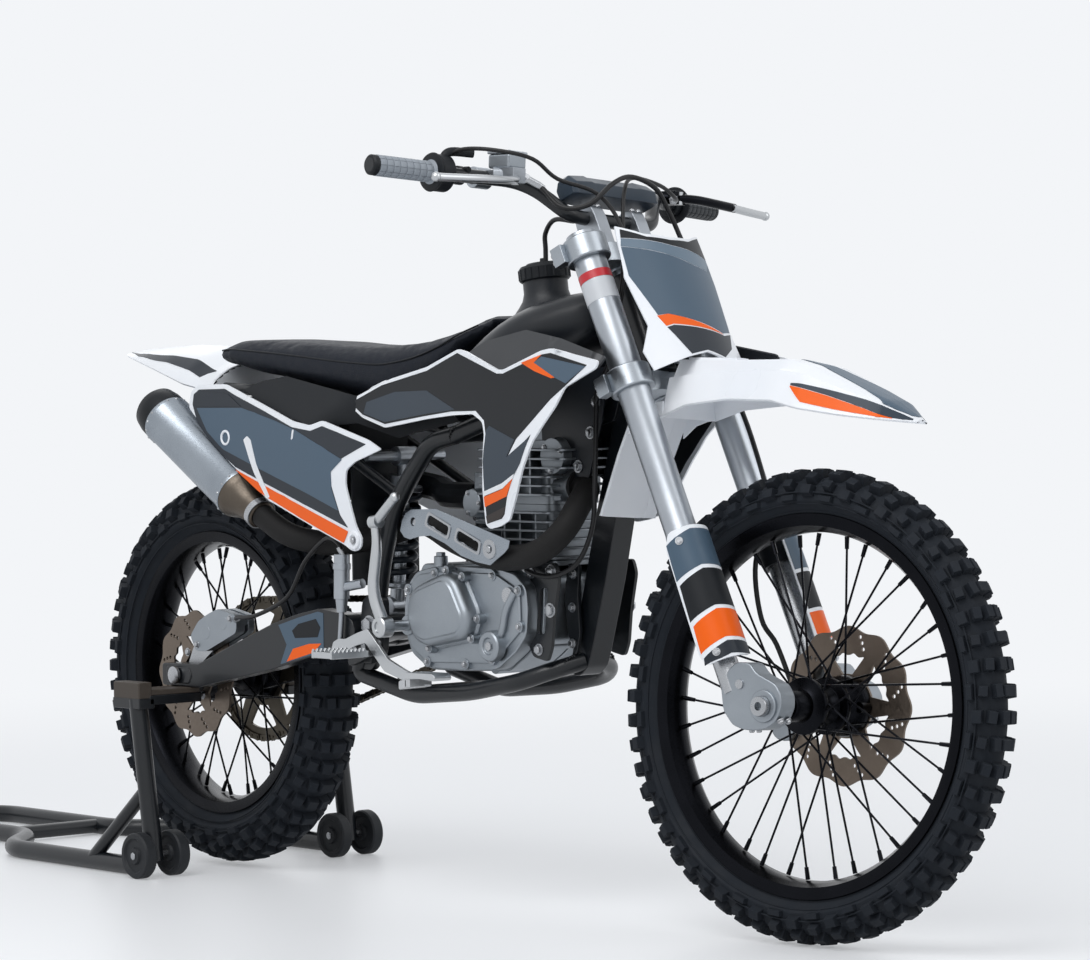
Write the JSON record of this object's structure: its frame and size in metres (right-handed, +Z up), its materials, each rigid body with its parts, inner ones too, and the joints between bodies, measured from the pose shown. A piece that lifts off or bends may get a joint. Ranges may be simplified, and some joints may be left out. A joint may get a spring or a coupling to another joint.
{
  "type": "off-road motorcycle on a paddock stand",
  "caption": "Knobbly-tyred off-road motorcycle with air-cooled engine, upside-down fork and white plastics, its rear wheel held off the floor by a black tubular paddock stand.",
  "frame": {"origin": "centre of the whole object's box, on the floor", "axes": "+X forward, along the length; +Y to the rider's left; +Z up"},
  "size_m": [2.7409, 0.8, 1.187],
  "materials": {
    "frame_black": "satin black enamel on welded steel tube",
    "cast_aluminium": "sand cast and shot blasted, clear coated",
    "bright_aluminium": "brushed and clear anodised",
    "forged_aluminium": "tumbled and polished",
    "exhaust_black": "heat resistant matt black paint",
    "white_plastic": "injection moulded, with slate and orange panels",
    "black_plastic": "moulded, satin",
    "seat_vinyl": "embossed vinyl over foam",
    "grip_rubber": "moulded, square ribs",
    "hose_rubber": "smooth sheath",
    "tyre_rubber": "knobbly",
    "wheel_black": "black anodised rims, hubs and spokes",
    "disc_steel": "ground stainless steel",
    "chain_steel": "oiled steel",
    "shock_steel": "powder coated spring on an anodised body",
    "stand_rubber": "moulded wheels"
  },
  "bodies": {
    "chassis": {"main_frame": "frame_black", "subframe": "frame_black", "crankcase": "cast_aluminium", "engine_covers": "cast_aluminium", "cylinder_barrel": "cast_aluminium", "cylinder_head": "cast_aluminium", "carburettor": "cast_aluminium", "airbox": "black_plastic", "exhaust_header": "exhaust_black", "heat_shield": "bright_aluminium", "silencer": "bright_aluminium", "fuel_tank": "black_plastic", "tank_cap": "black_plastic", "seat": "seat_vinyl", "shrouds": "white_plastic", "side_panels": "white_plastic", "rear_fender": "white_plastic", "swingarm": "frame_black", "shock_absorber": "shock_steel", "chain": "chain_steel", "rear_axle": "bright_aluminium", "rear_caliper": "forged_aluminium", "rear_master_cylinder": "forged_aluminium", "brake_pedal": "forged_aluminium", "kick_lever": "forged_aluminium", "gear_lever": "forged_aluminium", "footpegs": "forged_aluminium", "paddock_stand": "frame_black", "clutch_cable": "hose_rubber"},
    "fork": {"triple_clamps": "bright_aluminium", "fork_tubes": "bright_aluminium", "fork_legs": "bright_aluminium", "fork_guards": "black_plastic", "front_fender": "white_plastic", "number_plate": "white_plastic", "handlebar": "frame_black", "grips": "grip_rubber", "bar_pad": "black_plastic", "front_brake_lever": "forged_aluminium", "clutch_lever": "forged_aluminium", "front_caliper": "forged_aluminium", "brake_hose": "hose_rubber", "bar_cables": "hose_rubber"},
    "front_wheel": {"front_tyre": "tyre_rubber", "front_rim": "wheel_black", "front_hub": "wheel_black", "front_disc": "disc_steel"},
    "rear_wheel": {"rear_tyre": "tyre_rubber", "rear_rim": "wheel_black", "rear_hub": "wheel_black", "rear_disc": "disc_steel", "rear_sprocket": "chain_steel"},
    "stand_wheel_right": {"stand_wheels_right": "stand_rubber"},
    "stand_wheel_left": {"stand_wheels_left": "stand_rubber"}
  },
  "joints": [
    {"name": "steering", "type": "hinge", "parent": "chassis", "child": "fork", "pos_m": [0.65045, 0.01208, 0.946], "axis": [-0.4384, 0, 0.8988], "range_deg": [-49, 31]},
    {"name": "front_wheel_spin", "type": "hinge", "parent": "fork", "child": "front_wheel", "pos_m": [1.02362, 0.02379, 0.3496], "axis": [-0.1406, 0.9877, -0.0686], "continuous": true},
    {"name": "rear_wheel_spin", "type": "hinge", "parent": "chassis", "child": "rear_wheel", "pos_m": [-0.42555, 0.01208, 0.335], "axis": [0, 1, 0], "continuous": true},
    {"name": "stand_wheel_right_spin", "type": "hinge", "parent": "chassis", "child": "stand_wheel_right", "pos_m": [-0.36555, -0.19492, 0.039], "axis": [0, 1, 0], "continuous": true},
    {"name": "stand_wheel_left_spin", "type": "hinge", "parent": "chassis", "child": "stand_wheel_left", "pos_m": [-0.36555, 0.21908, 0.039], "axis": [0, 1, 0], "continuous": true}
  ]
}
